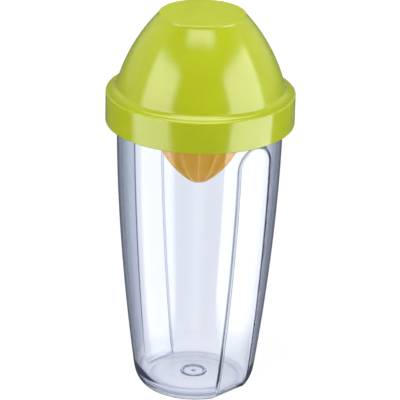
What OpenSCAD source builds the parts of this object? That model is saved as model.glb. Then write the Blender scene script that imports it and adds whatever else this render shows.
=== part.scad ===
// Shaker bottle for salad dressing: a clear tapered beaker with two grip flats, a citrus juicer
// with a strainer that hangs in its mouth, and a domed lid with a silicone seal.
// The table is z = 0, the axis is Z, and the front, from which the bottle is drawn, is -Y.

/* [Beaker] */
// Height at which the tapered wall becomes the straight mouth
shoulder_h = 143.2; // [125:0.1:165]
// Outer radius of the foot, before its heel is rounded
base_r = 30; // [27:0.1:33]
// Outer radius of the wall at the shoulder
mouth_r = 41.7; // [39:0.1:45]
// Bend of the taper, where 1 would be a straight cone
taper_bend = 1.75; // [1.3:0.05:2.1]
// Thickness of the beaker's wall
wall = 2; // [1.6:0.1:2.4]
// Height of the rounded heel
heel_h = 9; // [6:0.5:12]
// How far the rounded heel draws in at the table
heel_w = 4; // [3:0.1:5]
// Thickness of the floor at its edge
floor_t = 2.6; // [2:0.1:3.4]
// Rise of the floor's upper side towards the middle
floor_crown = 1.6; // [0.5:0.1:2.5]
// Hollow under the floor, in the middle
foot_hollow = 1.8; // [0.5:0.1:2.4]
// Width of the ring that the beaker stands on
foot_w = 3.6; // [2.8:0.1:5]
// Width of the rounded corner between wall and floor, inside
corner_w = 2.6; // [1.5:0.1:3.5]
// Height of the rounded corner between wall and floor, inside
corner_h = 4.5; // [3:0.1:6]
// Outer radius of the moulding mark in the middle of the floor
mark_r = 6.4; // [5:0.1:8]
// Width of the moulding mark's raised ring
mark_w = 2; // [1:0.1:3]
// Height of the moulding mark's raised ring
mark_h = 0.6; // [0.3:0.1:1]

/* [Mouth] */
// Height of the mouth, from the shoulder to the rim
mouth_h = 12.2; // [11:0.1:15]
// How far the mouth steps out to carry the juicer's flange and the lid's lugs
mouth_step = 1.5; // [1.2:0.1:1.8]
// Height above the shoulder at which the outside starts to step out
flare_start = 0.8; // [0.4:0.1:1.2]
// Height that the outside takes to step out
flare_h = 2.2; // [1.6:0.1:2.6]
// Height above the shoulder of the inner seat that carries the juicer
seat_h = 4.8; // [4.4:0.1:5.6]
// Rounding of the rim
rim_round = 0.5; // [0.3:0.1:0.8]

/* [Grip flats] */
// Direction of the front grip flat, turned from +X
grip_turn = -45; // [-90:5:0]
// Width of a grip flat
grip_w = 20.2; // [16:0.2:24]
// Depth of a grip flat in its middle
grip_depth = 2.2; // [1.8:0.1:2.6]
// Distance from the shoulder down to the top of a grip flat's arch
grip_drop = 3.5; // [3:0.1:10]

/* [Juicer] */
// Radius of the reamer where it meets the strainer
reamer_r = 27; // [23:0.5:29]
// Height of the reamer, from the strainer to its unrounded point
reamer_h = 43.5; // [36:0.5:50]
// Radius of the reamer's curved outline
reamer_bow = 56; // [50:1:80]
// Rounding of the reamer's point
tip_r = 6; // [4:0.5:8]
// Thickness of the reamer's hollow shell, with its flutes
reamer_wall = 3.6; // [3:0.1:4.2]
// Number of flutes in the reamer
flutes = 16; // [10:1:20]
// Depth of a flute at the strainer
flute_depth = 2; // [1.2:0.1:2.2]
// Wall of the juicer's collar
collar_wall = 1.6; // [1.2:0.1:2]
// Height of the collar on the short side of the flange
collar_short = 5.3; // [4.6:0.1:5.8]
// Thickness of the flange
flange_t = 1.5; // [1.2:0.1:2]
// Thickness of the strainer
strainer_t = 1.6; // [1.2:0.1:2]
// Number of drain slots
slots = 32; // [16:1:36]
// Width of a drain slot
slot_w = 1.8; // [1.2:0.1:2.2]
// Length of a drain slot
slot_l = 6.5; // [4:0.5:7]

/* [Lid] */
// Radial space between the mouth and the skirt, for the lugs
lug_space = 2.1; // [1.9:0.1:2.6]
// Height of the skirt, from the ledge to its lower edge
skirt_h = 16.4; // [15.5:0.1:18]
// Height of the dome above the ledge
dome_h = 40.4; // [30:0.1:50]
// Width of the ledge, from the dome's curve to the outside of the skirt
ledge_w = 4.6; // [4.3:0.1:5.2]
// Radius of the flat top, before its edge is rounded
top_r = 20.9; // [15:0.1:26]
// Radius of the dome's curved outline
dome_bow = 89; // [60:1:140]
// Wall of the lid
lid_wall = 2.2; // [1.8:0.1:2.6]
// Rounding of the flat top's edge
top_round = 1; // [0.5:0.1:2]
// Rounding of the ledge's outer edge
ledge_round = 0.8; // [0.5:0.1:1.2]
// Hollow rounding that leads from the dome to the ledge's outer edge
foot_round = 8; // [5:0.5:10]
// Rounding of the skirt's lower edge
edge_round = 0.6; // [0.3:0.1:0.9]

/* [Seal] */
// Thickness of the silicone seal
seal_t = 1.6; // [1.2:0.1:2.2]
// Rounding of the seal's edges
seal_round = 0.4; // [0.2:0.1:0.5]
// How far the lid's beads reach in under the seal
bead_w = 0.7; // [0.4:0.1:1]
// Height of a bead
bead_h = 0.8; // [0.6:0.1:1]
// Number of beads that hold the seal in the lid
beads = 6; // [3:1:8]
// Length of a bead, in degrees
bead_span = 16; // [10:1:30]

/* [Bayonet] */
// Number of lugs on the mouth, and on the skirt
lugs = 4; // [3:1:4]
// Length of a lug, in degrees
lug_span = 30; // [20:1:34]
// Height of a lug on the mouth
mouth_lug_h = 2; // [1.5:0.1:2.5]
// Height of a lug on the skirt
skirt_lug_h = 2.6; // [2:0.1:3]
// Distance from the rim down to the top of the mouth's lugs
lug_drop = 3.4; // [2.8:0.1:4]
// Length of the stop at the end of a mouth lug, in degrees
stop_span = 3; // [2:1:5]
// How far a stop is set in from the outer face of its lug
stop_set = 0.3; // [0.2:0.05:0.5]

/* [Clearances] */
// Gap between stacked faces, at rest
seat_gap = 0.2; // [0.1:0.05:0.3]
// Radial gap between the juicer's collar and the mouth
collar_gap = 0.3; // [0.2:0.05:0.5]
// Radial gap between the flange and its seat
flange_gap = 0.2; // [0.15:0.05:0.4]
// Gap between the collar's end and the wall behind a grip flat
grip_gap = 0.4; // [0.3:0.1:1]
// Radial gap round the seal
seal_gap = 0.2; // [0.15:0.05:0.3]
// Gap between the lugs as they pass and lock
lug_gap = 0.3; // [0.25:0.05:0.4]
// Gap between a locked lug and its stop, in degrees
stop_gap = 0.5; // [0.4:0.1:1]

/* [Hidden] */
$fn = 96;

// Length by which a cut runs past the faces that it goes through
past = 1;
// Steps along the curved outlines, across a flute and round a corner
wall_steps = 20;
dome_steps = 14;
reamer_steps = 8;
flute_steps = 4;
round_steps = 5;

// Radii of the mouth
neck_r = mouth_r + mouth_step;
seat_r = neck_r - wall;
bore_r = mouth_r - wall;

// Heights of the mouth
seat_z = shoulder_h + seat_h;
rim_z = shoulder_h + mouth_h;
foot_r = base_r - heel_w;
grip_top = shoulder_h - grip_drop;

// Levels of the juicer: the flange rests on the seat, and the strainer closes the upper end
flange_z = seat_z + seat_gap;
collar_r = bore_r - collar_gap;
collar_top = flange_z + collar_short;
collar_end = grip_top + wall + grip_gap;
strainer_z = collar_top - strainer_t;
tip_z = strainer_z - reamer_h;

// Levels and radii of the lid: the seal lies on the rim, and the ledge on the seal
seal_z = rim_z + seat_gap;
ledge_in_z = seal_z + seal_t + seat_gap;
ledge_z = ledge_in_z + lid_wall;
skirt_z = ledge_z - skirt_h;
top_z = ledge_z + dome_h;
skirt_in_r = neck_r + lug_space;
lid_r = skirt_in_r + lid_wall;
dome_r = lid_r - ledge_w;

// Levels and radii of the bayonet
mouth_lug_z = rim_z - lug_drop - mouth_lug_h;
skirt_lug_z = mouth_lug_z - lug_gap - skirt_lug_h;
mouth_lug_r = skirt_in_r - lug_gap;
skirt_lug_r = neck_r + lug_gap;
lug_pitch = 360 / lugs;

// Centre of the circle of radius r through p and q that lies to the left of the way from p to q
function arc_centre(p, q, r) =
    let (way = q - p, chord = norm(way), left = [-way.y, way.x] / chord)
    (p + q) / 2 + left * sqrt(r * r - chord * chord / 4);

// Points of a round stretch about a centre
function arc_points(centre, r, from, to, steps) =
    [for (i = [0 : steps]) let (a = from + (to - from) * i / steps) centre + r * [cos(a), sin(a)]];

// Outer radius of the tapered wall at height z, without the heel
function taper_r(z) =
    base_r + (mouth_r - base_r) * (1 - pow(1 - min(z, shoulder_h) / shoulder_h, taper_bend));

// How far a rounded heel of width w and height h draws in at height z
function draw_in(z, w, h) = z >= h ? 0 : w * (1 - cos(asin(1 - max(z, 0) / h)));

// Outer radius of the beaker at height z, with the heel
function outer_r(z) = taper_r(z) - draw_in(z, heel_w, heel_h);

// Heights at which a rounded heel of height h is drawn, from its lower end
function heel_heights(h) = [for (i = [0 : round_steps]) h * (1 - cos(90 * i / round_steps))];

// Heights at which the taper is drawn, above a heel that ends at height h
function taper_heights(h) = [for (i = [1 : wall_steps]) h + (shoulder_h - h) * i / wall_steps];

// Height of a crowned disc of radius r that rises by crown in its middle
function crown_z(x, r, crown) = crown * (1 - x * x / (r * r));

outer_points = [for (z = concat(heel_heights(heel_h), taper_heights(heel_h))) [outer_r(z), z]];
inner_points =
    [for (z = concat(heel_heights(corner_h), taper_heights(corner_h)))
        [taper_r(z + floor_t) - wall - draw_in(z, corner_w, corner_h), min(z + floor_t, seat_z)]];
floor_r = inner_points[0].x;
hollow_r = foot_r - foot_w;
hollow_points =
    [for (i = [0 : round_steps])
        let (x = hollow_r * i / round_steps) [x, crown_z(x, hollow_r, foot_hollow)]];
floor_points =
    [for (i = [0 : round_steps])
        let (x = floor_r * i / round_steps) [x, floor_t + crown_z(x, floor_r, floor_crown)]];

// The whole beaker as if solid, with its stepped mouth
module beaker_outside() {
    rotate_extrude()
        polygon(concat(
            hollow_points,
            outer_points,
            [[mouth_r, shoulder_h + flare_start], [neck_r, shoulder_h + flare_start + flare_h]],
            arc_points([neck_r - rim_round, rim_z - rim_round], rim_round, 0, 90, round_steps),
            [[0, rim_z]]));
}

// The space inside the beaker, up to and past the rim
module beaker_inside() {
    rotate_extrude()
        polygon(concat(
            floor_points,
            inner_points,
            [[bore_r, seat_z], [seat_r, seat_z]],
            arc_points([seat_r + rim_round, rim_z - rim_round], rim_round, 180, 90, round_steps),
            [[seat_r + rim_round, rim_z + past], [0, rim_z + past]]));
}

// The slab that a grip flat takes off the wall. Grown by the wall's thickness, the same slab
// is what the inside of the beaker leaves standing behind the flat.
module grip_slab(grow) {
    half_w = grip_w / 2 + grow;
    arch_z = grip_top + grow - half_w;
    outside = mouth_r + past;
    face = [for (p = outer_points) if (p.y <= grip_top + grow) [p.x - grip_depth - grow, p.y]];
    last_z = grip_top + grow + past;
    intersection() {
        rotate([90, 0, 0])
            linear_extrude(2 * half_w + 2 * past, center = true)
                polygon(concat(
                    [[outside, -past], [face[0].x, -past]],
                    face,
                    [[outer_r(last_z) - grip_depth - grow, last_z], [outside, last_z]]));
        rotate([90, 0, 90])
            linear_extrude(outside + past)
                union() {
                    translate([-half_w, -2 * past])
                        square([2 * half_w, arch_z + 2 * past]);
                    translate([0, arch_z])
                        circle(half_w);
                }
    }
}

module both_grips(grow) {
    for (side = [0, 180])
        rotate(grip_turn + side)
            grip_slab(grow);
}

// A block that bends round the axis, centred on +X
module ring_block(r_in, r_out, z, h, span) {
    rotate(-span / 2)
        rotate_extrude(angle = span)
            translate([r_in, z])
                square([r_out - r_in, h]);
}

// Lugs on the mouth, each with a stop under its far end, which a skirt lug reaches last
module mouth_lugs() {
    root_r = neck_r - wall / 2;
    run_on = stop_span + 2 * stop_gap;
    stop_h = mouth_lug_z + mouth_lug_h / 2 - skirt_lug_z;
    for (i = [0 : lugs - 1])
        rotate(i * lug_pitch) {
            rotate(-run_on / 2)
                ring_block(root_r, mouth_lug_r, mouth_lug_z, mouth_lug_h, lug_span + run_on);
            rotate(-(lug_span + run_on) / 2)
                ring_block(root_r - stop_set, mouth_lug_r - stop_set, skirt_lug_z, stop_h, stop_span);
        }
}

// The moulding mark, a raised ring on the floor with sloping flanks
module floor_mark() {
    base_z = floor_t + floor_crown - mark_h;
    rotate_extrude()
        polygon([
            [mark_r - mark_w, base_z], [mark_r, base_z],
            [mark_r - mark_w / 3, base_z + 2 * mark_h],
            [mark_r - mark_w * 2 / 3, base_z + 2 * mark_h]]);
}

module beaker() {
    color([0.88, 0.91, 0.95, 0.35])
        union() {
            difference() {
                beaker_outside();
                both_grips(0);
                difference() {
                    beaker_inside();
                    both_grips(wall);
                }
            }
            floor_mark();
            mouth_lugs();
        }
}

// The reamer's outline is an arc from its point to the strainer, with the point rounded
reamer_point = [0, tip_z];
reamer_edge = [reamer_r, strainer_z];
reamer_centre = arc_centre(reamer_point, reamer_edge, reamer_bow);

// Points of the reamer's outline, set in by a depth, with a tip of the given radius
function reamer_points(inset, round) =
    let (
        bow = reamer_bow - inset,
        tip = [0, reamer_centre.y - sqrt(pow(bow - round, 2) - pow(reamer_centre.x, 2))],
        lean = atan2(tip.y - reamer_centre.y, tip.x - reamer_centre.x),
        end = asin((strainer_z - reamer_centre.y) / bow),
        first = lean + (end - lean) / reamer_steps)
    concat(
        arc_points(tip, round, -90, lean, round_steps),
        arc_points(reamer_centre, bow, first, end, reamer_steps - 1));

// Distance from the axis to the reamer's skin on a ring of radius r, a share t of the way
// from one rib to the next
function fluted_r(r, t) = r * (1 - flute_depth / reamer_r * 4 * t * (1 - t));

// One ring of the reamer's skin
function fluted_ring(p) =
    [for (i = [0 : flutes * flute_steps - 1])
        let (a = 360 * i / (flutes * flute_steps), r = fluted_r(p.x, (i % flute_steps) / flute_steps))
        [r * cos(a), r * sin(a), p.y]];

// The reamer as if solid: rings of points from its tip up to the strainer
module reamer_outside() {
    outline = reamer_points(0, tip_r);
    rings = [for (i = [1 : len(outline) - 1]) fluted_ring(outline[i])];
    ends = [[0, 0, outline[0].y], [0, 0, strainer_z]];
    points = concat(ends, [for (ring = rings) each ring]);
    around = flutes * flute_steps;
    low = len(ends);
    high = low + (len(rings) - 1) * around;
    lower_fan = [for (i = [0 : around - 1]) [0, low + i, low + (i + 1) % around]];
    walls = [for (ring = [low : around : high - around]) for (i = [0 : around - 1])
        let (here = ring + i, next = ring + (i + 1) % around)
        each [[here, here + around, next], [next, here + around, next + around]]];
    upper_fan = [for (i = [0 : around - 1]) [1, high + (i + 1) % around, high + i]];
    polyhedron(points, concat(lower_fan, walls, upper_fan));
}

module reamer_inside() {
    rotate_extrude()
        polygon(concat(
            reamer_points(reamer_wall, tip_r - reamer_wall),
            [[reamer_r - reamer_wall, collar_top + past], [0, collar_top + past]]));
}

// Strainer, collar and flange, as one turned outline
module juicer_ring() {
    inner = collar_r - collar_wall;
    rotate_extrude()
        polygon([
            [0, strainer_z], [inner, strainer_z], [inner, collar_end], [collar_r, collar_end],
            [collar_r, flange_z], [seat_r - flange_gap, flange_z],
            [seat_r - flange_gap, flange_z + flange_t], [collar_r, flange_z + flange_t],
            [collar_r, collar_top], [0, collar_top]]);
}

module drain_slots() {
    middle = (reamer_r + collar_r - collar_wall) / 2;
    translate([0, 0, strainer_z - past])
        linear_extrude(strainer_t + 2 * past)
            for (i = [0 : slots - 1])
                rotate(i * 360 / slots)
                    translate([middle, 0]) {
                        square([slot_l - slot_w, slot_w], center = true);
                        for (side = [-1, 1])
                            translate([side * (slot_l - slot_w) / 2, 0])
                                circle(slot_w / 2);
                    }
}

module juicer() {
    color([0.8, 0.6, 0.2])
        difference() {
            union() {
                reamer_outside();
                juicer_ring();
            }
            reamer_inside();
            drain_slots();
        }
}

module lid_seal() {
    r_in = dome_in_r(ledge_in_z) + seal_gap;
    r_out = skirt_in_r - seal_gap;
    z_low = seal_z + seal_round;
    z_high = seal_z + seal_t - seal_round;
    color([0.93, 0.93, 0.9])
        rotate_extrude()
            polygon(concat(
                arc_points([r_in + seal_round, z_low], seal_round, 270, 180, round_steps),
                arc_points([r_in + seal_round, z_high], seal_round, 180, 90, round_steps),
                arc_points([r_out - seal_round, z_high], seal_round, 90, 0, round_steps),
                arc_points([r_out - seal_round, z_low], seal_round, 0, -90, round_steps)));
}

// The dome's outline is an arc from the ledge to the flat top
dome_centre = arc_centre([dome_r, ledge_z], [top_r, top_z], dome_bow);

// Radius of the dome at height z, outside and inside
function dome_out_r(z) = dome_centre.x + sqrt(pow(dome_bow, 2) - pow(z - dome_centre.y, 2));
function dome_in_r(z) = dome_centre.x + sqrt(pow(dome_bow - lid_wall, 2) - pow(z - dome_centre.y, 2));

// Centre of the hollow rounding, which meets the dome's arc from outside
foot_z = ledge_z + foot_round;
foot_x = dome_centre.x + sqrt(pow(dome_bow + foot_round, 2) - pow(foot_z - dome_centre.y, 2));
dome_lean = atan2(foot_z - dome_centre.y, foot_x - dome_centre.x);

// The lid as if solid: skirt, ledge, dome and flat top
module lid_outside() {
    ledge_edge = lid_r - ledge_round;
    edge_lean = asin(max(foot_x - ledge_edge, 0) / (foot_round + ledge_round));
    edge_z = foot_z - (foot_round + ledge_round) * cos(edge_lean);
    dome_z = dome_centre.y + dome_bow * sin(dome_lean);
    rounded_z = top_z - top_round;
    dome = [for (i = [1 : dome_steps])
        let (z = dome_z + (rounded_z - dome_z) * i / dome_steps) [dome_out_r(z), z]];
    rotate_extrude()
        polygon(concat(
            [[0, skirt_z], [lid_r - edge_round, skirt_z]],
            arc_points([lid_r - edge_round, skirt_z + edge_round], edge_round, -90, 0, round_steps),
            arc_points([ledge_edge, edge_z], ledge_round, 0, 90 - edge_lean, round_steps),
            arc_points([foot_x, foot_z], foot_round, 270 - edge_lean, 180 + dome_lean, 2 * round_steps),
            dome,
            arc_points([dome_out_r(rounded_z) - top_round, rounded_z], top_round, 0, 90, round_steps),
            [[0, top_z]]));
}

module lid_inside() {
    ceiling_z = top_z - lid_wall;
    dome = [for (i = [0 : dome_steps])
        let (z = ledge_in_z + (ceiling_z - ledge_in_z) * i / dome_steps) [dome_in_r(z), z]];
    rotate_extrude()
        polygon(concat(
            [[0, skirt_z - past], [skirt_in_r, skirt_z - past], [skirt_in_r, ledge_in_z]],
            dome,
            [[0, ceiling_z]]));
}

// Lugs that stand halfway between those of the mouth until the lid is turned
module skirt_lugs() {
    for (i = [0 : lugs - 1])
        rotate((i + 0.5) * lug_pitch)
            ring_block(skirt_lug_r, skirt_in_r + lid_wall / 2, skirt_lug_z, skirt_lug_h, lug_span);
}

module seal_beads() {
    bead_z = seal_z - seat_gap - bead_h;
    for (i = [0 : beads - 1])
        rotate(i * 360 / beads)
            ring_block(skirt_in_r - bead_w, skirt_in_r + lid_wall / 2, bead_z, bead_h, bead_span);
}

module lid() {
    color([0.74, 0.79, 0.22])
        union() {
            difference() {
                lid_outside();
                lid_inside();
            }
            skirt_lugs();
            seal_beads();
        }
}

beaker();
juicer();
lid_seal();
lid();
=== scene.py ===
import math

import bpy
from mathutils import Matrix, Vector


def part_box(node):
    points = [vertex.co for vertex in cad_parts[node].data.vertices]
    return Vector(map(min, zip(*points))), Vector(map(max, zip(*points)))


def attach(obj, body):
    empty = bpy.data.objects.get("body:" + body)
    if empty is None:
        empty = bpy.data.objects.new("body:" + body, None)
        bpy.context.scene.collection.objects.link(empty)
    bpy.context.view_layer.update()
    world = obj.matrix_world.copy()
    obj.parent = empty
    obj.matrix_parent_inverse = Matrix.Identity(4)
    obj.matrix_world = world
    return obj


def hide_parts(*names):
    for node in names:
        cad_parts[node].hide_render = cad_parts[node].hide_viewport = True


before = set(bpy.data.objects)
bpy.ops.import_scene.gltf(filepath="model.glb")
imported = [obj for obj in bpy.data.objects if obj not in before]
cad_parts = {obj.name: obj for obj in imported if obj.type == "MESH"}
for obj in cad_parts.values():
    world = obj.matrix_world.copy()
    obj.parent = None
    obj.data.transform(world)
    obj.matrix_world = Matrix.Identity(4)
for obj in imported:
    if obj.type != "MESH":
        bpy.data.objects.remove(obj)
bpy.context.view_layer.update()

# Outlines are drawn in millimetres and turned into metres as they are drawn.
MM = 0.001
FULL_TURN = 2 * math.pi

# Heights taken from the frame
rim_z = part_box("beaker")[1][2] / MM
top_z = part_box("lid")[1][2] / MM
skirt_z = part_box("lid")[0][2] / MM

# The beaker
shoulder_z = rim_z - 12.2
base_r, mouth_r, taper_bend = 30.0, 41.7, 1.75
wall = 2.0
heel_h, heel_w = 9.0, 4.0
floor_t, floor_crown = 2.6, 1.6
foot_hollow, foot_w = 1.8, 3.6
corner_w, corner_h = 3.1, 6.2
mark_r, mark_w, mark_h = 6.9, 2.1, 0.85
gate_r, gate_h = 0.8, 0.25
mouth_step, flare_start, flare_h = 1.5, 0.8, 2.2
seat_z = shoulder_z + 4.8
rim_round = 0.5
neck_r = mouth_r + mouth_step
seat_r = neck_r - wall
bore_r = mouth_r - wall

# The two grip flats
grip_turns = (math.radians(-45), math.radians(135))
grip_w, grip_depth = 20.2, 2.2
grip_top = shoulder_z - 3.5
grip_steps, grip_steps_inside = (1.3, 0.5), (1.4, 0.9)
grip_wider = (0.35, 0.2)
grip_fade = 2.5
grip_zone = 14.5

# The juicer
reamer_r, reamer_h, reamer_bow, tip_r, reamer_wall = 27.0, 43.5, 56.0, 10.0, 3.6
flutes, flute_depth = 16, 2.0
collar_wall, collar_gap, flange_gap = 1.6, 0.3, 0.2
flange_t, strainer_t = 1.5, 1.6
flange_z = seat_z + 0.2
collar_r = bore_r - collar_gap
collar_top = flange_z + 5.3
collar_end = grip_top + wall + 0.4
strainer_z = collar_top - strainer_t
slots, slot_w, slot_l = 32, 1.8, 6.5

# The seal and the lid
seal_z = rim_z + 0.2
seal_t, seal_round, seal_gap = 1.6, 0.4, 0.2
lid_wall = 2.2
ledge_in_z = seal_z + seal_t + 0.2
ledge_z = ledge_in_z + lid_wall
lid_r, dome_r, top_r, dome_bow = 47.5, 42.9, 20.9, 89.0
top_round, ledge_round, foot_round, edge_round = 1.0, 1.2, 4.0, 0.6
skirt_in_r = lid_r - lid_wall
bead_w, bead_h, beads, bead_span = 0.7, 0.8, 6, math.radians(16)

# The bayonet
lugs, lug_span = 4, math.radians(30)
mouth_lug_h, skirt_lug_h, lug_gap = 2.0, 2.6, 0.3
mouth_lug_z = rim_z - 3.4 - mouth_lug_h
skirt_lug_z = mouth_lug_z - lug_gap - skirt_lug_h
mouth_lug_r = skirt_in_r - lug_gap
skirt_lug_r = neck_r + lug_gap
stop_span, stop_gap, stop_set = math.radians(3), math.radians(0.5), 0.3
lug_edge = 0.3


# ---- outlines


def circle_centre(p, q, r):
    """Centre of the circle of radius r through p and q, to the left of the way from p to q."""
    way = Vector(q) - Vector(p)
    left = Vector((-way.y, way.x)).normalized()
    return (Vector(p) + Vector(q)) / 2 + left * math.sqrt(r * r - way.length_squared / 4)


def arc(centre, r, start, end, steps):
    """Points of a round stretch about a centre, from one angle to another, in degrees."""
    angles = [math.radians(start + (end - start) * i / steps) for i in range(steps + 1)]
    return [(centre[0] + r * math.cos(a), centre[1] + r * math.sin(a)) for a in angles]


def heights(low, high, step):
    """Evenly spaced heights from low to high, both included, about a step apart."""
    count = max(1, round((high - low) / step))
    return [low + (high - low) * i / count for i in range(count + 1)]


def taper_r(z):
    """Outer radius of the tapered wall at height z, without the heel."""
    return base_r + (mouth_r - base_r) * (1 - (1 - min(z, shoulder_z) / shoulder_z) ** taper_bend)


def draw_in(z, w, h):
    """How far a rounded heel of width w and height h draws in at height z."""
    return 0 if z >= h else w * (1 - math.cos(math.asin(1 - max(z, 0) / h)))


def outer_r(z):
    """Outer radius of the beaker at height z, with the heel."""
    return taper_r(z) - draw_in(z, heel_w, heel_h)


def smooth(share):
    """A soft step from 0 to 1."""
    share = min(max(share, 0), 1)
    return share * share * (3 - 2 * share)


# ---- modelling


def pick(piece):
    """Select one piece alone and make it the active one."""
    bpy.ops.object.select_all(action="DESELECT")
    piece.select_set(True)
    bpy.context.view_layer.objects.active = piece


def drawn(name, outline, start=0.0):
    """A new piece in edit mode that holds an outline of (radius, height) points, drawn point by point."""
    bpy.ops.object.select_all(action="DESELECT")
    bpy.ops.mesh.primitive_plane_add(size=MM, location=(0, 0, 0))
    piece = bpy.context.object
    piece.name = piece.data.name = name
    bpy.ops.object.mode_set(mode="EDIT")
    bpy.ops.mesh.select_all(action="SELECT")
    bpy.ops.mesh.merge(type="CENTER")
    out = Vector((math.cos(start), math.sin(start), 0)) * MM
    up = Vector((0, 0, MM))
    bpy.ops.transform.translate(value=outline[0][0] * out + outline[0][1] * up)
    for (r_a, z_a), (r_b, z_b) in zip(outline, outline[1:]):
        move = (r_b - r_a) * out + (z_b - z_a) * up
        bpy.ops.mesh.extrude_vertices_move(TRANSFORM_OT_translate={"value": move})
    return piece


def closed_up(piece):
    """Merge what meets, face everything outwards and leave edit mode."""
    bpy.ops.mesh.select_all(action="SELECT")
    bpy.ops.mesh.remove_doubles(threshold=MM / 500)
    bpy.ops.mesh.normals_make_consistent(inside=False)
    bpy.ops.object.mode_set(mode="OBJECT")
    return piece


def turned(name, outline, steps=256):
    """A piece turned round the Z axis from an outline."""
    piece = drawn(name, outline)
    bpy.ops.mesh.select_all(action="SELECT")
    bpy.ops.mesh.spin(steps=steps, angle=FULL_TURN, center=(0, 0, 0), axis=(0, 0, 1))
    return closed_up(piece)


def ring_block(name, r_in, r_out, z, h, span, middle):
    """A block with rounded edges that bends round the Z axis, centred on an angle. The spin runs clockwise."""
    corners = [(r_in, z), (r_out, z), (r_out, z + h), (r_in, z + h), (r_in, z)]
    piece = drawn(name, corners, middle + span / 2)
    bpy.ops.mesh.select_all(action="SELECT")
    bpy.ops.mesh.remove_doubles(threshold=MM / 500)
    bpy.ops.mesh.edge_face_add()
    bpy.ops.mesh.spin(steps=max(3, round(math.degrees(span) / 2)), angle=span, center=(0, 0, 0), axis=(0, 0, 1))
    closed_up(piece)
    rounding = piece.modifiers.new("rounding", "BEVEL")
    rounding.width = lug_edge * MM
    rounding.segments = 3
    rounding.angle_limit = math.radians(40)
    pick(piece)
    bpy.ops.object.modifier_apply(modifier=rounding.name)
    return piece


def joined(piece, others):
    """Join other pieces into one."""
    pick(piece)
    for other in others:
        other.select_set(True)
    bpy.ops.object.join()
    return piece


def combined(piece, tool, operation):
    """Unite a piece with another solid, or cut it away."""
    change = piece.modifiers.new("change", "BOOLEAN")
    change.operation = operation
    change.solver = "EXACT"
    change.object = tool
    pick(piece)
    bpy.ops.object.modifier_apply(modifier=change.name)
    bpy.data.objects.remove(tool, do_unlink=True)
    return piece


def finished(piece, node, material, angle=32):
    """Shade a piece, give it its material and let it stand for its node."""
    pick(piece)
    bpy.ops.object.shade_smooth_by_angle(angle=math.radians(angle))
    piece.data.materials.clear()
    piece.data.materials.append(material)
    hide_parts(node)
    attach(piece, node)


# ---- the beaker


def beaker_outside():
    """The outline from under the floor, round the foot and up to the middle of the rim."""
    hollow_r = base_r - heel_w - foot_w
    under = [(hollow_r * i / 6, foot_hollow * (1 - (i / 6) ** 2)) for i in range(6)]
    foot = [(hollow_r, 0.12), (hollow_r + 0.4, 0), (base_r - heel_w - 0.4, 0), (base_r - heel_w, 0.08)]
    heel = [(outer_r(z), z) for z in [heel_h * (1 - math.cos(math.radians(a))) for a in range(10, 91, 8)]]
    low = [(outer_r(z), z) for z in heights(heel_h, grip_top - 12, 5)[1:]]
    arch = [(outer_r(z), z) for z in heights(grip_top - 12, grip_top + 2, 0.28)[1:]]
    shoulder = [(mouth_r, shoulder_z), (mouth_r, shoulder_z + flare_start)]
    flare = [(mouth_r + mouth_step * smooth(i / 6), shoulder_z + flare_start + flare_h * i / 6) for i in range(1, 7)]
    rim = arc((neck_r - rim_round, rim_z - rim_round), rim_round, 0, 90, 5)
    return under + foot + heel + low + arch + shoulder + flare + rim + [((neck_r + seat_r) / 2, rim_z)]


def beaker_inside():
    """The outline from the middle of the rim, down over the seat to the middle of the floor."""
    top = grip_top + wall
    rim = arc((seat_r + rim_round, rim_z - rim_round), rim_round, 90, 180, 5)
    seat = [(seat_r, seat_z + 0.3), (seat_r - 0.3, seat_z), (bore_r + 0.3, seat_z), (bore_r, seat_z - 0.3)]
    arch = [(taper_r(z + floor_t) - wall, z) for z in heights(top - 14, top + 1.5, 0.3)]
    low = [(taper_r(z + floor_t) - wall, z) for z in heights(floor_t + corner_h, top - 14, 5)[:-1]]
    rise = [corner_h * (1 - math.cos(math.radians(a))) for a in range(0, 90, 9)]
    corner = [(taper_r(z + floor_t) - wall - draw_in(z, corner_w, corner_h), z + floor_t) for z in rise]
    floor_r = corner[0][0]

    def crown(r):
        return floor_t + floor_crown * (1 - (r / floor_r) ** 2)

    ring = [mark_r - mark_w * i / 12 for i in range(13)]
    mark = [(r, crown(r) + mark_h * math.sin(math.pi * i / 12) ** 0.7) for i, r in enumerate(ring)]
    flat = [(r, crown(r)) for r in (floor_r * 0.86, floor_r * 0.7, floor_r * 0.5, floor_r * 0.36)]
    middle = [(3.2, crown(3.2)), (1.6, crown(1.6))]
    gate = [(gate_r * math.cos(math.radians(a)), crown(0) + gate_h * math.sin(math.radians(a))) for a in (0, 30, 60)]
    upwards = [(0, crown(0) + gate_h)] + gate[::-1] + middle[::-1] + mark[::-1] + flat[::-1] + corner + low + arch
    return upwards + seat[::-1] + rim[::-1] + [((neck_r + seat_r) / 2, rim_z)]


def gather_columns(skin):
    """Turn the spun columns so that most of them run up the two grip flats, where the detail is."""
    share = math.radians(62)
    quarter = math.pi / 2
    for v in skin.data.vertices:
        r = math.hypot(v.co.x, v.co.y)
        if r < MM:
            continue
        azimuth = math.atan2(v.co.y, v.co.x)
        for turn in grip_turns:
            off = math.remainder(azimuth - turn, FULL_TURN)
            if abs(off) > quarter:
                continue
            reach = min(grip_zone * MM, 0.8 * r)
            edge = math.asin(reach / r)
            if abs(off) <= share:
                moved = math.asin(reach * abs(off) / share / r)
            else:
                moved = edge + (quarter - edge) * (abs(off) - share) / (quarter - share)
            new = turn + math.copysign(moved, off)
            v.co.x, v.co.y = r * math.cos(new), r * math.sin(new)
            break


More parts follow.
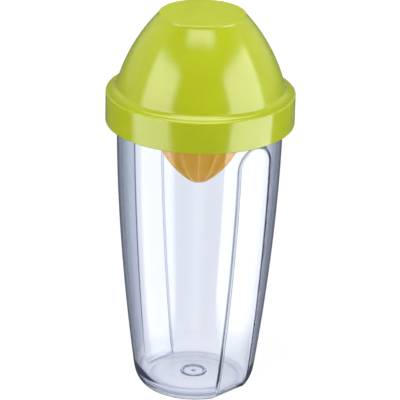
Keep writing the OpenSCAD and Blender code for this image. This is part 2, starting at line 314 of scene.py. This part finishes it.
def press_grips(skin, grow, steps):
    """Press the two grip flats into a skin, with a soft step round each. grow is the skin's depth in the wall."""
    for v in skin.data.vertices:
        x, y, z = v.co / MM
        for turn, step, wider in zip(grip_turns, steps, grip_wider):
            half = grip_w / 2 + wider * grow
            arch_z = grip_top + wider * grow - half
            away = x * math.cos(turn) + y * math.sin(turn)
            side = y * math.cos(turn) - x * math.sin(turn)
            flat = outer_r(z) - grip_depth - grow
            if away <= flat:
                continue
            inside = half - (abs(side) if z < arch_z else math.hypot(side, z - arch_z))
            share = smooth(inside / step + 0.5)
            if grow:
                share *= smooth((z - floor_t) / grip_fade)
            away += (flat - away) * share
            v.co.x = (away * math.cos(turn) - side * math.sin(turn)) * MM
            v.co.y = (away * math.sin(turn) + side * math.cos(turn)) * MM


def mouth_lugs():
    """The lugs round the mouth, each with its stop."""
    made = []
    root = neck_r - wall / 2
    run_on = stop_span + 2 * stop_gap
    stop_h = mouth_lug_z + mouth_lug_h / 2 - skirt_lug_z
    for i in range(lugs):
        at = FULL_TURN * i / lugs
        made.append(ring_block("lug", root, mouth_lug_r, mouth_lug_z, mouth_lug_h, lug_span + run_on, at - run_on / 2))
        stop_at = at - (lug_span + run_on) / 2
        made.append(ring_block("stop", root - stop_set, mouth_lug_r - stop_set, skirt_lug_z, stop_h, stop_span, stop_at))
    return made


def beaker(material):
    columns = 320
    outside = turned("beaker_shell", beaker_outside(), columns)
    inside = turned("beaker_inside", beaker_inside(), columns)
    for skin, grow, steps in ((outside, 0, grip_steps), (inside, wall, grip_steps_inside)):
        gather_columns(skin)
        press_grips(skin, grow, steps)
    shell = joined(outside, [inside])
    bpy.ops.object.mode_set(mode="EDIT")
    closed_up(shell)
    for lug in mouth_lugs():
        combined(shell, lug, "UNION")
    finished(shell, "beaker", material, 50)


# ---- the juicer


def reamer_outline(inset, rounding):
    """The reamer's outline from its tip to the strainer, set in by a depth."""
    centre = circle_centre((0, strainer_z - reamer_h), (reamer_r, strainer_z), reamer_bow)
    bow = reamer_bow - inset
    tip = (0, centre.y - math.sqrt((bow - rounding) ** 2 - centre.x ** 2))
    lean = math.degrees(math.atan2(tip[1] - centre.y, tip[0] - centre.x))
    end = math.degrees(math.asin((strainer_z - centre.y) / bow))
    return arc(tip, rounding, -90, lean, 8)[:-1] + arc(centre, bow, lean, end, 26)


def press_flutes(skin, outline):
    """Press the flutes into a reamer's skin, deepest at the strainer."""
    low = outline[0][1]
    for v in skin.data.vertices:
        if v.co.z / MM > strainer_z + 0.01:
            continue
        at = math.atan2(v.co.y, v.co.x) / FULL_TURN * flutes
        share = at - math.floor(at)
        depth = flute_depth / reamer_r * 4 * share * (1 - share)
        ease = smooth((v.co.z / MM - low) / 3)
        v.co.x *= 1 - depth * ease
        v.co.y *= 1 - depth * ease


def drain_slot():
    """A cutter with round ends for one slot of the strainer."""
    middle = (reamer_r + collar_r - collar_wall) / 2
    bpy.ops.object.select_all(action="DESELECT")
    bpy.ops.mesh.primitive_cube_add(size=1, location=(0, 0, 0))
    cutter = bpy.context.object
    bpy.ops.object.mode_set(mode="EDIT")
    bpy.ops.transform.resize(value=(slot_l * MM, slot_w * MM, strainer_t * 2 * MM))
    bpy.ops.transform.translate(value=(middle * MM, 0, (strainer_z + strainer_t / 2) * MM))
    bpy.ops.mesh.select_all(action="DESELECT")
    bpy.ops.object.mode_set(mode="OBJECT")
    for edge in cutter.data.edges:
        a, b = (cutter.data.vertices[i].co for i in edge.vertices)
        edge.select = abs(a.z - b.z) > MM
    bpy.ops.object.mode_set(mode="EDIT")
    bpy.ops.mesh.select_mode(type="EDGE")
    bpy.ops.mesh.bevel(offset=slot_w / 2 * MM * 0.98, segments=5)
    bpy.ops.mesh.select_mode(type="VERT")
    bpy.ops.object.mode_set(mode="OBJECT")
    return cutter


def drain_slots():
    """All the slots' cutters as one piece."""
    first = drain_slot()
    others = []
    for i in range(1, slots):
        copy = first.copy()
        copy.data = first.data.copy()
        copy.data.transform(Matrix.Rotation(FULL_TURN * i / slots, 4, "Z"))
        bpy.context.collection.objects.link(copy)
        others.append(copy)
    return joined(first, others)


def juicer(material):
    outside = reamer_outline(0, tip_r)
    inside = reamer_outline(reamer_wall, tip_r - reamer_wall)
    inner = collar_r - collar_wall
    flange_r = seat_r - flange_gap
    soft = 0.3
    skirt = [
        (inner - soft, strainer_z), (inner, strainer_z - soft), (inner, collar_end + soft), (inner + soft, collar_end),
        (collar_r - soft, collar_end), (collar_r, collar_end + soft), (collar_r, flange_z),
        (flange_r - soft, flange_z), (flange_r, flange_z + soft), (flange_r, flange_z + flange_t - soft),
        (flange_r - soft, flange_z + flange_t), (collar_r, flange_z + flange_t), (collar_r, collar_top - soft),
        (collar_r - soft, collar_top)]
    hollow_r = inside[-1][0]
    top = [(hollow_r + soft, collar_top), (hollow_r, collar_top - soft)]
    skin = turned("juicer_skin", outside, 320)
    press_flutes(skin, outside)
    body = turned("juicer_body", outside[-1:] + skirt + top + inside[::-1], 320)
    fitted = [v for v in body.data.vertices if abs(v.co.z / MM - strainer_z) < 0.01 and abs(math.hypot(v.co.x, v.co.y) / MM - reamer_r) < 0.05]
    for v in fitted:
        at = math.atan2(v.co.y, v.co.x) / FULL_TURN * flutes
        share = at - math.floor(at)
        v.co.x *= 1 - flute_depth / reamer_r * 4 * share * (1 - share)
        v.co.y *= 1 - flute_depth / reamer_r * 4 * share * (1 - share)
    piece = joined(skin, [body])
    bpy.ops.object.mode_set(mode="EDIT")
    closed_up(piece)
    piece.name = piece.data.name = "juicer_moulding"
    combined(piece, drain_slots(), "DIFFERENCE")
    finished(piece, "juicer", material)


# ---- the seal and the lid


def dome_x(z, inset):
    """Radius of the dome at height z, set in by a depth."""
    centre = circle_centre((dome_r, ledge_z), (top_r, top_z), dome_bow)
    return centre.x + math.sqrt((dome_bow - inset) ** 2 - (z - centre.y) ** 2)


def lid_seal(material):
    r_in = dome_x(ledge_in_z, lid_wall) + seal_gap
    r_out = skirt_in_r - seal_gap
    low, high = seal_z + seal_round, seal_z + seal_t - seal_round
    outline = (
        arc((r_in + seal_round, low), seal_round, 270, 180, 5) + arc((r_in + seal_round, high), seal_round, 180, 90, 5)
        + arc((r_out - seal_round, high), seal_round, 90, 0, 5) + arc((r_out - seal_round, low), seal_round, 0, -90, 5))
    finished(turned("seal_ring", outline + outline[:1]), "lid_seal", material)


def lid_outline():
    """The lid's outline, from the middle of its top, down outside and up again inside."""
    centre = circle_centre((dome_r, ledge_z), (top_r, top_z), dome_bow)
    foot_z = ledge_z + foot_round
    foot_x = centre.x + math.sqrt((dome_bow + foot_round) ** 2 - (foot_z - centre.y) ** 2)
    ledge_x = lid_r - ledge_round
    edge_lean = math.asin(max(foot_x - ledge_x, 0) / (foot_round + ledge_round))
    edge_z = foot_z - (foot_round + ledge_round) * math.cos(edge_lean)
    dome_lean = math.atan2(foot_z - centre.y, foot_x - centre.x)
    dome_z = centre.y + dome_bow * math.sin(dome_lean)
    rounded_z = top_z - top_round
    ceiling = top_z - lid_wall
    top = [(0, top_z), (top_r * 0.5, top_z)]
    edge = arc((dome_x(rounded_z, 0) - top_round, rounded_z), top_round, 90, 18, 8)
    dome = [(dome_x(z, 0), z) for z in heights(dome_z, rounded_z - 0.3, 1.2)][::-1]
    foot = arc((foot_x, foot_z), foot_round, 180 + math.degrees(dome_lean), 270 - math.degrees(edge_lean), 24)[1:]
    ledge = arc((ledge_x, edge_z), ledge_round, 90 - math.degrees(edge_lean), 0, 8)[1:]
    lower = arc((lid_r - edge_round, skirt_z + edge_round), edge_round, 0, -90, 6)
    inner = arc((skirt_in_r + 0.4, skirt_z + 0.4), 0.4, 270, 180, 4)
    corner = [(skirt_in_r, ledge_in_z - 0.5), (skirt_in_r - 0.5, ledge_in_z)]
    inside = [(dome_x(z, lid_wall), z) for z in heights(ledge_in_z, ceiling - 1, 1.5)]
    soft = arc((dome_x(ceiling - 1, lid_wall) - 1.6, ceiling - 1), 1, 30, 90, 4)
    return top + edge + dome + foot + ledge + lower + inner + corner + inside + soft + [(0, ceiling)]


def lid(material):
    piece = turned("lid_dome", lid_outline(), 256)
    depth = skirt_in_r + lid_wall / 2
    for i in range(lugs):
        at = FULL_TURN * (i + 0.5) / lugs
        combined(piece, ring_block("lug", skirt_lug_r, depth, skirt_lug_z, skirt_lug_h, lug_span, at), "UNION")
    for i in range(beads):
        at = FULL_TURN * i / beads
        bead_z = seal_z - 0.2 - bead_h
        combined(piece, ring_block("bead", skirt_in_r - bead_w, depth, bead_z, bead_h, bead_span, at), "UNION")
    finished(piece, "lid", material)


# ---- materials


def colour(red, green, blue):
    """A colour given as it shows on a screen, from 0 to 255, as the shader wants it."""
    def straight(c):
        c /= 255
        return c / 12.92 if c <= 0.04045 else ((c + 0.055) / 1.055) ** 2.4
    return (straight(red), straight(green), straight(blue), 1)


def put(tree, socket, value):
    """Link a socket into a node's input, or set it to a plain value."""
    if isinstance(value, bpy.types.NodeSocket):
        tree.links.new(value, socket)
    else:
        socket.default_value = value


def calculator(tree):
    """A function that adds a Math node to a node tree, with sockets or numbers as its inputs."""
    def reckon(operation, a, b=0.0, clamp=False):
        node = tree.nodes.new("ShaderNodeMath")
        node.operation, node.use_clamp = operation, clamp
        put(tree, node.inputs[0], a)
        put(tree, node.inputs[1], b)
        return node.outputs["Value"]
    return reckon


def blender_of(tree):
    """A function that adds a Mix node between two colours to a node tree."""
    def blend(share, a, b):
        node = tree.nodes.new("ShaderNodeMix")
        node.data_type = "RGBA"
        for socket, value in ((node.inputs[0], share), (node.inputs[6], a), (node.inputs[7], b)):
            put(tree, socket, value)
        return node.outputs[2]
    return blend


def moulded_skin_group():
    """The skin of a moulded part: soft waves, a fine grain in the gloss, and faint rub marks."""
    group = bpy.data.node_groups.new("moulded_skin", "ShaderNodeTree")
    face = group.interface
    for name, kind, value in (
        ("Gloss", "NodeSocketFloat", 0.2), ("Spread", "NodeSocketFloat", 0.05),
        ("Wave Scale", "NodeSocketFloat", 60.0), ("Grain Scale", "NodeSocketFloat", 900.0),
        ("Rub", "NodeSocketFloat", 0.05),
    ):
        face.new_socket(name=name, in_out="INPUT", socket_type=kind).default_value = value
    for name in ("Roughness", "Height", "Tone"):
        face.new_socket(name=name, in_out="OUTPUT", socket_type="NodeSocketFloat")
    nodes, links = group.nodes, group.links
    given = nodes.new("NodeGroupInput")
    out = nodes.new("NodeGroupOutput")
    place = nodes.new("ShaderNodeTexCoord")

    def noise(scale, detail, stretch=None):
        tex = nodes.new("ShaderNodeTexNoise")
        tex.inputs["Detail"].default_value = detail
        links.new(given.outputs[scale], tex.inputs["Scale"])
        source = place.outputs["Object"]
        if stretch:
            mapping = nodes.new("ShaderNodeMapping")
            mapping.inputs["Scale"].default_value = stretch
            links.new(source, mapping.inputs["Vector"])
            source = mapping.outputs["Vector"]
        links.new(source, tex.inputs["Vector"])
        return tex.outputs["Fac"]

    reckon = calculator(group)
    waves = noise("Wave Scale", 2)
    grain = noise("Grain Scale", 3)
    rubs = noise("Grain Scale", 4, (0.15, 1, 0.15))
    worn = reckon("MULTIPLY", reckon("POWER", rubs, 4), given.outputs["Rub"])
    spread = reckon("MULTIPLY", reckon("SUBTRACT", grain, 0.5), given.outputs["Spread"])
    links.new(reckon("ADD", reckon("ADD", given.outputs["Gloss"], spread), worn), out.inputs["Roughness"])
    links.new(reckon("ADD", waves, reckon("MULTIPLY", grain, 0.12)), out.inputs["Height"])
    links.new(waves, out.inputs["Tone"])
    return group


def plastic(name, skin, skin_values, base, second, relief, settings):
    """A moulded plastic whose colour drifts between two shades, with its own skin values."""
    material = bpy.data.materials.new(name)
    material.use_nodes = True
    nodes, links = material.node_tree.nodes, material.node_tree.links
    shader = nodes["Principled BSDF"]
    for key, value in settings.items():
        shader.inputs[key].default_value = value
    group = nodes.new("ShaderNodeGroup")
    group.name = "skin"
    group.node_tree = skin
    for key, value in skin_values.items():
        group.inputs[key].default_value = value
    ramp = nodes.new("ShaderNodeValToRGB")
    ramp.name = "shades"
    ramp.color_ramp.elements[0].position = 0.3
    ramp.color_ramp.elements[0].color = base
    ramp.color_ramp.elements[1].position = 0.7
    ramp.color_ramp.elements[1].color = second
    bump = nodes.new("ShaderNodeBump")
    bump.inputs["Strength"].default_value = relief
    bump.inputs["Distance"].default_value = 0.05 * MM
    links.new(group.outputs["Tone"], ramp.inputs["Fac"])
    links.new(ramp.outputs["Color"], shader.inputs["Base Color"])
    links.new(group.outputs["Roughness"], shader.inputs["Roughness"])
    links.new(group.outputs["Height"], bump.inputs["Height"])
    links.new(bump.outputs["Normal"], shader.inputs["Normal"])
    return material


def rubs_matt_on_top(material, coat, gloss):
    """Dull the lid's flat top, on which it stands to be filled."""
    nodes, links = material.node_tree.nodes, material.node_tree.links
    shader = nodes["Principled BSDF"]
    place = nodes.new("ShaderNodeTexCoord")
    parts = nodes.new("ShaderNodeSeparateXYZ")
    links.new(place.outputs["Object"], parts.inputs["Vector"])

    def by_height(low, high):
        ramp = nodes.new("ShaderNodeMapRange")
        ramp.inputs["From Min"].default_value = (top_z - 0.25) * MM
        ramp.inputs["From Max"].default_value = (top_z - 0.02) * MM
        ramp.inputs["To Min"].default_value = low
        ramp.inputs["To Max"].default_value = high
        links.new(parts.outputs["Z"], ramp.inputs["Value"])
        return ramp.outputs["Result"]

    links.new(by_height(coat, 0.0), shader.inputs["Coat Weight"])
    dull = calculator(material.node_tree)("MAXIMUM", nodes["skin"].outputs["Roughness"], by_height(0.0, gloss))
    links.new(dull, shader.inputs["Roughness"])


def paints_shade_at_a_slant(material, deep):
    """Darken clear plastic where its wall is seen at a slant: painted shade at its edges, partly the real tint of the
    long way light has through it.
    """
    nodes, links = material.node_tree.nodes, material.node_tree.links
    slant = nodes.new("ShaderNodeLayerWeight")
    share = nodes.new("ShaderNodeMapRange")
    share.inputs["From Min"].default_value = 0.36
    share.inputs["From Max"].default_value = 0.85
    links.new(slant.outputs["Facing"], share.inputs["Value"])
    # painted shade: the share of the dark edge colour grows as the wall is seen more at a slant
    depth = calculator(material.node_tree)("POWER", share.outputs["Result"], 1.5)
    edge_shade = blender_of(material.node_tree)(depth, nodes["shades"].outputs["Color"], deep)
    links.new(edge_shade, nodes["Principled BSDF"].inputs["Base Color"])


def paints_glow_on_deep_bounces(material, glow):
    """Paint a faint glow, as emission, on clear plastic where a ray has bounced more than five times, standing in for
    the soft light of rays that bounce on and on inside a clear wall.
    """
    nodes, links = material.node_tree.nodes, material.node_tree.links
    path = nodes.new("ShaderNodeLightPath")
    deep = calculator(material.node_tree)("GREATER_THAN", path.outputs["Ray Depth"], 5.5)
    light = blender_of(material.node_tree)(deep, (0, 0, 0, 1), glow)
    links.new(light, nodes["Principled BSDF"].inputs["Emission Color"])


def paints_ridge_highlights(material, light):
    """Paint a highlight into the colour of the thin ridges between the flutes, where light runs along the edge."""
    nodes, links = material.node_tree.nodes, material.node_tree.links
    reckon = calculator(material.node_tree)
    place = nodes.new("ShaderNodeTexCoord")
    parts = nodes.new("ShaderNodeSeparateXYZ")
    links.new(place.outputs["Object"], parts.inputs["Vector"])
    x, y, z = (parts.outputs[axis] for axis in "XYZ")
    turns = reckon("FRACT", reckon("MULTIPLY", reckon("ARCTAN2", y, x), flutes / FULL_TURN))
    ridge = reckon("POWER", reckon("ABSOLUTE", reckon("SUBTRACT", reckon("MULTIPLY", turns, 2), 1)), 12)
    off_axis = reckon("ADD", reckon("MULTIPLY", x, x), reckon("MULTIPLY", y, y))
    near = reckon("LESS_THAN", off_axis, (reamer_r * 1.05 * MM) ** 2)
    below = reckon("LESS_THAN", z, strainer_z * MM)
    share = reckon("MULTIPLY", ridge, reckon("MULTIPLY", near, below))
    # painted highlight: lighter amber blended onto the ridges
    lit = blender_of(material.node_tree)(share, nodes["shades"].outputs["Color"], light)
    links.new(lit, nodes["Principled BSDF"].inputs["Base Color"])


def lets_lamps_through(material, tint):
    """Let shadow rays pass a clear plastic, as a thin clear wall does."""
    nodes, links = material.node_tree.nodes, material.node_tree.links
    out = nodes["Material Output"]
    clear = nodes.new("ShaderNodeBsdfTransparent")
    clear.inputs["Color"].default_value = tint
    path = nodes.new("ShaderNodeLightPath")
    mix = nodes.new("ShaderNodeMixShader")
    links.new(path.outputs["Is Shadow Ray"], mix.inputs["Fac"])
    links.new(nodes["Principled BSDF"].outputs["BSDF"], mix.inputs[1])
    links.new(clear.outputs["BSDF"], mix.inputs[2])
    links.new(mix.outputs["Shader"], out.inputs["Surface"])


# ---- the studio


def camera():
    """A long lens at the photograph's angle, leaning a little."""
    elevation, lean = math.radians(22.323), math.radians(1.482)
    distance, target = 1.3, Vector((0, 0, 0.1))
    lens, sensor = 230.22, 36.0
    data = bpy.data.cameras.new("camera")
    data.lens, data.sensor_width = lens, sensor
    data.shift_x, data.shift_y = 0.00533, -0.00039
    data.clip_end = 20
    place = bpy.data.objects.new("camera", data)
    bpy.context.scene.collection.objects.link(place)
    place.location = target + distance * Vector((0, -math.cos(elevation), math.sin(elevation)))
    facing = Matrix.Rotation(math.pi / 2 - elevation, 3, "X") @ Matrix.Rotation(lean, 3, "Z")
    place.rotation_euler = facing.to_euler()
    bpy.context.scene.camera = place


def softbox(name, azimuth, elevation, distance, size, soft, power):
    """A lamp that faces the bottle and fades towards its edges. Azimuth 0 is the front, and it grows to the right."""
    data = bpy.data.lights.new(name, "AREA")
    data.shape = "RECTANGLE"
    data.size, data.size_y = size
    data.energy = power * size[0] * size[1]
    data.use_nodes = True
    tree = data.node_tree
    reckon = calculator(tree)
    place = tree.nodes.new("ShaderNodeNewGeometry")
    parts = tree.nodes.new("ShaderNodeSeparateXYZ")
    tree.links.new(place.outputs["Parametric"], parts.inputs["Vector"])
    fades = []
    for axis, length, edge in zip("XY", size, soft):
        near = reckon("SUBTRACT", 0.5, reckon("ABSOLUTE", reckon("SUBTRACT", parts.outputs[axis], 0.5)))
        fade = tree.nodes.new("ShaderNodeMapRange")
        fade.interpolation_type = "SMOOTHSTEP"
        fade.inputs["From Max"].default_value = edge / length
        tree.links.new(near, fade.inputs["Value"])
        fades.append(fade.outputs["Result"])
    tree.links.new(reckon("MULTIPLY", *fades), tree.nodes["Emission"].inputs["Strength"])
    lamp = bpy.data.objects.new(name, data)
    bpy.context.scene.collection.objects.link(lamp)
    a, e = math.radians(azimuth), math.radians(elevation)
    towards = Vector((math.sin(a) * math.cos(e), -math.cos(a) * math.cos(e), math.sin(e)))
    lamp.location = Vector((0, 0, 0.15)) + distance * towards
    lamp.rotation_euler = towards.to_track_quat("Z", "Y").to_euler()
    lamp.visible_camera = False
    lamp.visible_transmission = False
    return lamp


def studio_world():
    """White behind the bottle, and greyer between eight main directions for light that passes clear plastic."""
    world = bpy.data.worlds.new("studio")
    world.use_nodes = True
    bpy.context.scene.world = world
    nodes, links = world.node_tree.nodes, world.node_tree.links
    sky = nodes["Background"]
    path = nodes.new("ShaderNodeLightPath")
    place = nodes.new("ShaderNodeTexCoord")
    parts = nodes.new("ShaderNodeSeparateXYZ")
    links.new(place.outputs["Generated"], parts.inputs["Vector"])

    reckon, blend = calculator(world.node_tree), blender_of(world.node_tree)
    azimuth = reckon("ARCTAN2", parts.outputs["X"], parts.outputs["Y"])
    turns = reckon("MULTIPLY", azimuth, 8 / FULL_TURN)
    off = reckon("ABSOLUTE", reckon("SUBTRACT", reckon("FRACT", reckon("ADD", turns, 8.5)), 0.5))
    ramp = nodes.new("ShaderNodeValToRGB")
    shades = ramp.color_ramp.elements
    shades[0].position, shades[0].color = 0.14, (0.96, 0.97, 1, 1)
    shades[1].position, shades[1].color = 0.72, (0.5, 0.55, 0.65, 1)
    shades.new(0.38).color = (0.68, 0.75, 0.9, 1)
    links.new(reckon("MULTIPLY", off, 2), ramp.inputs["Fac"])
    height = parts.outputs["Z"]
    level = reckon("ABSOLUTE", reckon("ADD", height, 0.33))
    away = reckon("MULTIPLY", reckon("SUBTRACT", level, 0.2), 1 / 0.15, True)
    through = blend(away, ramp.outputs["Color"], (0.86, 0.9, 0.98, 1))
    steep = reckon("MULTIPLY", reckon("SUBTRACT", reckon("MULTIPLY", height, -1), 0.6), 1 / 0.2, True)
    through = blend(steep, through, (0.42, 0.47, 0.58, 1))
    rising = reckon("MULTIPLY", reckon("ADD", height, 0.1), 1 / 0.15, True)
    beside = reckon("MULTIPLY", reckon("ADD", parts.outputs["Y"], 0.15), 1 / 0.3, True)
    outwards = reckon("MULTIPLY", reckon("SUBTRACT", reckon("ABSOLUTE", parts.outputs["X"]), 0.3), 1 / 0.4, True)
    behind = reckon("MULTIPLY", reckon("SUBTRACT", parts.outputs["Y"], 0.2), 1 / 0.4, True)
    low = blend(behind, (0.05, 0.053, 0.06, 1), (0.13, 0.137, 0.157, 1))
    high = blend(reckon("MULTIPLY", beside, outwards), (0.2, 0.2, 0.21, 1), (0.75, 0.75, 0.72, 1))
    seen = blend(path.outputs["Is Transmission Ray"], blend(rising, low, high), through)
    seen = blend(path.outputs["Is Camera Ray"], seen, (1, 1, 1, 1))
    links.new(seen, sky.inputs["Color"])
    sky.inputs["Strength"].default_value = 1


def table():
    """A pale floor that shows white and keeps a faint shadow."""
    bpy.ops.object.select_all(action="DESELECT")
    bpy.ops.mesh.primitive_plane_add(size=12, location=(0, 0, -0.00005))
    floor = bpy.context.object
    floor.name = "pale_floor"
    material = bpy.data.materials.new("pale_floor")
    material.use_nodes = True
    nodes, links = material.node_tree.nodes, material.node_tree.links
    matt = nodes["Principled BSDF"]
    matt.inputs["Base Color"].default_value = (0.85, 0.85, 0.86, 1)
    matt.inputs["Roughness"].default_value = 0.9
    glow = nodes.new("ShaderNodeEmission")
    glow.inputs["Strength"].default_value = 1.06
    path = nodes.new("ShaderNodeLightPath")
    place = nodes.new("ShaderNodeTexCoord")
    away = nodes.new("ShaderNodeVectorMath")
    away.operation = "LENGTH"
    far = nodes.new("ShaderNodeMapRange")
    far.inputs["From Min"].default_value = 0.15
    far.inputs["From Max"].default_value = 0.6
    far.inputs["To Min"].default_value = 0.8
    share = nodes.new("ShaderNodeMath")
    share.operation = "MULTIPLY"
    links.new(place.outputs["Object"], away.inputs[0])
    links.new(away.outputs["Value"], far.inputs["Value"])
    links.new(far.outputs["Result"], share.inputs[1])
    mix = nodes.new("ShaderNodeMixShader")
    links.new(path.outputs["Is Camera Ray"], share.inputs[0])
    links.new(share.outputs["Value"], mix.inputs["Fac"])
    links.new(matt.outputs["BSDF"], mix.inputs[1])
    links.new(glow.outputs["Emission"], mix.inputs[2])
    links.new(mix.outputs["Shader"], nodes["Material Output"].inputs["Surface"])
    floor.data.materials.append(material)
    floor.visible_glossy = False
    floor.visible_transmission = False
    floor.visible_shadow = False


def studio():
    studio_world()
    table()
    softbox("softbox_left", -60.5, 22, 0.95, (0.93, 0.62), (0.15, 0.14), 12)
    softbox("softbox_right", 66, 22, 0.95, (0.97, 0.62), (0.05, 0.14), 13)
    softbox("softbox_top", -4, 75, 1.0, (1.0, 0.8), (0.25, 0.12), 12)
    for lamp in (softbox("low_softbox_left", -60.5, -17.3, 0.95, (1.0, 0.975), (0.16, 0.09), 10),
                 softbox("low_softbox_right", 66, -17.3, 0.95, (1.04, 0.975), (0.05, 0.09), 12.5),
                 softbox("softbox_back", 180, 67, 1.0, (0.9, 0.7), (0.25, 0.14), 15)):
        lamp.visible_diffuse = False
    bpy.context.scene.view_settings.view_transform = "Standard"


skin = moulded_skin_group()
camera()

# The clear plastic's Emission Strength of 1 carries the painted glow added below.
clear = plastic(
    "beaker_clear", skin, {"Gloss": 0.0, "Spread": 0.01, "Wave Scale": 40.0, "Rub": 0.02},
    (0.92, 0.937, 0.975, 1), (0.93, 0.945, 0.98, 1), 0.05,
    {"Transmission Weight": 1.0, "IOR": 1.57, "Emission Strength": 1.0})
# Painted shade: the clear wall darkens towards a near-black navy where it is seen at a slant.
paints_shade_at_a_slant(clear, (0.03, 0.05, 0.1, 1))
# Painted glow: the clear wall gives off a faint blue light of its own on deep bounces.
paints_glow_on_deep_bounces(clear, (0.05, 0.06, 0.09, 1))
lets_lamps_through(clear, (0.93, 0.95, 0.97, 1))
beaker(clear)

# Painted glow: the amber gives off a faint light of its own (Emission Strength 0.22), standing in for light that
# reaches it through the clear wall.
amber = plastic(
    "juicer_amber", skin, {"Gloss": 0.22, "Spread": 0.06},
    colour(190, 137, 0), colour(202, 150, 0), 0.2,
    {"IOR": 1.5, "Specular IOR Level": 0.12, "Subsurface Weight": 0.1, "Subsurface Scale": 0.002,
     "Emission Color": colour(230, 170, 0), "Emission Strength": 0.22})
# Painted highlight: a lighter amber on the ridges of the flutes.
paints_ridge_highlights(amber, colour(240, 184, 24))
juicer(amber)

lid_seal(plastic(
    "seal_silicone", skin, {"Gloss": 0.5, "Spread": 0.1},
    colour(226, 226, 218), colour(236, 236, 230), 0.3, {"IOR": 1.41}))

green = plastic(
    "lid_green", skin, {"Gloss": 0.17, "Spread": 0.04},
    colour(166, 177, 14), colour(172, 183, 18), 0.15,
    {"IOR": 1.5, "Coat Roughness": 0.16, "Coat IOR": 1.6})
rubs_matt_on_top(green, 0.25, 0.6)
lid(green)
studio()
